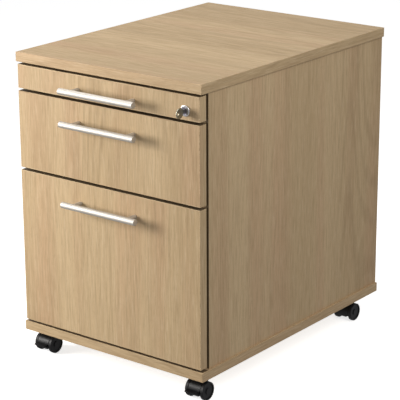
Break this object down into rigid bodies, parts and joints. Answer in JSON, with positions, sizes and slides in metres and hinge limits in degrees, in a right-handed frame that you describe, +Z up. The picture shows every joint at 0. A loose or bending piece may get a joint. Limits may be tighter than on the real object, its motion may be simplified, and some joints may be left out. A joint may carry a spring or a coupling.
{
  "type": "rolling pedestal cabinet",
  "caption": "Wood-effect office pedestal on casters with a pencil drawer, a box drawer and a hanging-file drawer, bar handles and a central lock.",
  "frame": {"origin": "on the floor, under the middle of the overall footprint", "axes": "+X to the right seen from the front, +Y to the back, +Z up"},
  "size_m": [0.428, 0.612, 0.59],
  "materials": {
    "oak_top": "matt oak-effect laminate",
    "oak_board": "matt oak-effect laminate",
    "oak_front": "matt oak-effect laminate",
    "oak_edging": "oak-effect edging",
    "beech": "bare",
    "satin_handle": "satin",
    "chrome_lock": "polished",
    "key_metal": "worn",
    "wheel_plastic": "moulded",
    "caster_plastic": "moulded",
    "zinc_steel": "zinc plated",
    "tray_plastic": "fine grain",
    "roller_plastic": "moulded",
    "guide_plastic": "moulded",
    "slide_steel": "zinc plated",
    "drawer_steel": "powder coated"
  },
  "bodies": {
    "cabinet": {"top_panel": "oak_top", "bottom_panel": "oak_board", "side_panel_left": "oak_board", "side_panel_right": "oak_board", "back_panel": "oak_board", "carcase_edging": "oak_edging", "wooden_dowels": "beech", "carcase_screws": "zinc_steel", "caster_plates": "zinc_steel", "pencil_cabinet_rails": "tray_plastic", "middle_cabinet_rails": "slide_steel", "file_cabinet_rails": "slide_steel", "lock_bar_guides": "guide_plastic"},
    "lock_bar": {"lock_bar": "slide_steel"},
    "pencil_drawer": {"pencil_front": "oak_front", "pencil_front_edging": "oak_edging", "pencil_tray": "tray_plastic", "pencil_handle": "satin_handle", "pencil_drawer_screws": "zinc_steel", "lock_housing": "chrome_lock"},
    "lock_core": {"lock_barrel_and_cam": "chrome_lock", "key": "key_metal"},
    "middle_drawer": {"middle_front": "oak_front", "middle_front_edging": "oak_edging", "middle_side_left": "drawer_steel", "middle_side_right": "drawer_steel", "middle_back": "drawer_steel", "middle_bottom": "drawer_steel", "middle_handle": "satin_handle", "middle_drawer_screws": "zinc_steel"},
    "middle_cabinet_rollers": {"middle_cabinet_rollers": "roller_plastic"},
    "middle_drawer_rollers": {"middle_drawer_rollers": "roller_plastic"},
    "file_drawer": {"file_front": "oak_front", "file_front_edging": "oak_edging", "file_side_left": "drawer_steel", "file_side_right": "drawer_steel", "file_back": "drawer_steel", "file_bottom": "drawer_steel", "file_handle": "satin_handle", "file_drawer_screws": "zinc_steel", "file_drawer_rails": "slide_steel"},
    "file_intermediates": {"file_slide_intermediates": "slide_steel"},
    "caster_front_left": {"caster_body_front_left": "caster_plastic", "caster_axle_front_left": "zinc_steel"},
    "wheel_front_left_l": {"caster_wheel_front_left_l": "wheel_plastic"},
    "wheel_front_left_r": {"caster_wheel_front_left_r": "wheel_plastic"},
    "brake_front_left": {"brake_lever_front_left": "caster_plastic"},
    "caster_front_right": {"caster_body_front_right": "caster_plastic", "caster_axle_front_right": "zinc_steel"},
    "wheel_front_right_l": {"caster_wheel_front_right_l": "wheel_plastic"},
    "wheel_front_right_r": {"caster_wheel_front_right_r": "wheel_plastic"},
    "brake_front_right": {"brake_lever_front_right": "caster_plastic"},
    "caster_rear_left": {"caster_body_rear_left": "caster_plastic", "caster_axle_rear_left": "zinc_steel"},
    "wheel_rear_left_l": {"caster_wheel_rear_left_l": "wheel_plastic"},
    "wheel_rear_left_r": {"caster_wheel_rear_left_r": "wheel_plastic"},
    "caster_rear_right": {"caster_body_rear_right": "caster_plastic", "caster_axle_rear_right": "zinc_steel"},
    "wheel_rear_right_l": {"caster_wheel_rear_right_l": "wheel_plastic"},
    "wheel_rear_right_r": {"caster_wheel_rear_right_r": "wheel_plastic"}
  },
  "joints": [
    {"name": "pencil_slide", "type": "slide", "parent": "cabinet", "child": "pencil_drawer", "axis": [0, -1, 0], "range_m": [0, 0.3]},
    {"name": "middle_slide", "type": "slide", "parent": "cabinet", "child": "middle_drawer", "axis": [0, -1, 0], "range_m": [0, 0.38]},
    {"name": "file_slide", "type": "slide", "parent": "cabinet", "child": "file_drawer", "axis": [0, -1, 0], "range_m": [0, 0.45]},
    {"name": "file_intermediate_slide", "type": "slide", "parent": "cabinet", "child": "file_intermediates", "axis": [0, -1, 0], "range_m": [0, 0.225]},
    {"name": "lock_turn", "type": "hinge", "parent": "pencil_drawer", "child": "lock_core", "pos_m": [0.1795, -0.274, 0.54], "axis": [0, -1, 0], "range_deg": [0, 91]},
    {"name": "lock_bar_lift", "type": "slide", "parent": "cabinet", "child": "lock_bar", "axis": [0, 0, 1], "range_m": [0, 0.00707]},
    {"name": "middle_cabinet_roller_spin", "type": "hinge", "parent": "cabinet", "child": "middle_cabinet_rollers", "pos_m": [0, -0.222, 0.39675], "axis": [1, 0, 0], "range_deg": [0, 2222.17]},
    {"name": "middle_drawer_roller_spin", "type": "hinge", "parent": "middle_drawer", "child": "middle_drawer_rollers", "pos_m": [0, 0.181, 0.39675], "axis": [1, 0, 0], "range_deg": [0, 2222.17]},
    {"name": "front_left_swivel", "type": "hinge", "parent": "cabinet", "child": "caster_front_left", "pos_m": [-0.183, -0.2275, 0.041], "axis": [0, 0, 1], "continuous": true},
    {"name": "front_left_wheel_l", "type": "hinge", "parent": "caster_front_left", "child": "wheel_front_left_l", "pos_m": [-0.197, -0.2435, 0.0175], "axis": [1, 0, 0], "continuous": true},
    {"name": "front_left_wheel_r", "type": "hinge", "parent": "caster_front_left", "child": "wheel_front_left_r", "pos_m": [-0.169, -0.2435, 0.0175], "axis": [1, 0, 0], "continuous": true},
    {"name": "front_left_brake", "type": "hinge", "parent": "caster_front_left", "child": "brake_front_left", "pos_m": [-0.183, -0.2435, 0.0175], "axis": [1, 0, 0], "range_deg": [0, 12]},
    {"name": "front_right_swivel", "type": "hinge", "parent": "cabinet", "child": "caster_front_right", "pos_m": [0.183, -0.2275, 0.041], "axis": [0, 0, 1], "continuous": true},
    {"name": "front_right_wheel_l", "type": "hinge", "parent": "caster_front_right", "child": "wheel_front_right_l", "pos_m": [0.169, -0.2435, 0.0175], "axis": [1, 0, 0], "continuous": true},
    {"name": "front_right_wheel_r", "type": "hinge", "parent": "caster_front_right", "child": "wheel_front_right_r", "pos_m": [0.197, -0.2435, 0.0175], "axis": [1, 0, 0], "continuous": true},
    {"name": "front_right_brake", "type": "hinge", "parent": "caster_front_right", "child": "brake_front_right", "pos_m": [0.183, -0.2435, 0.0175], "axis": [1, 0, 0], "range_deg": [0, 12]},
    {"name": "rear_left_swivel", "type": "hinge", "parent": "cabinet", "child": "caster_rear_left", "pos_m": [-0.183, 0.2595, 0.041], "axis": [0, 0, 1], "continuous": true},
    {"name": "rear_left_wheel_l", "type": "hinge", "parent": "caster_rear_left", "child": "wheel_rear_left_l", "pos_m": [-0.197, 0.2435, 0.0175], "axis": [1, 0, 0], "continuous": true},
    {"name": "rear_left_wheel_r", "type": "hinge", "parent": "caster_rear_left", "child": "wheel_rear_left_r", "pos_m": [-0.169, 0.2435, 0.0175], "axis": [1, 0, 0], "continuous": true},
    {"name": "rear_right_swivel", "type": "hinge", "parent": "cabinet", "child": "caster_rear_right", "pos_m": [0.183, 0.2595, 0.041], "axis": [0, 0, 1], "continuous": true},
    {"name": "rear_right_wheel_l", "type": "hinge", "parent": "caster_rear_right", "child": "wheel_rear_right_l", "pos_m": [0.169, 0.2435, 0.0175], "axis": [1, 0, 0], "continuous": true},
    {"name": "rear_right_wheel_r", "type": "hinge", "parent": "caster_rear_right", "child": "wheel_rear_right_r", "pos_m": [0.197, 0.2435, 0.0175], "axis": [1, 0, 0], "continuous": true}
  ],
  "couplings": [
    {"joint": "file_intermediate_slide", "follows": "file_slide", "ratio": 0.5},
    {"joint": "lock_turn", "follows": "lock_bar_lift", "rad_per_m": 222.14},
    {"joint": "middle_cabinet_roller_spin", "follows": "middle_slide", "rad_per_m": 102.04},
    {"joint": "middle_drawer_roller_spin", "follows": "middle_slide", "rad_per_m": 102.04}
  ]
}
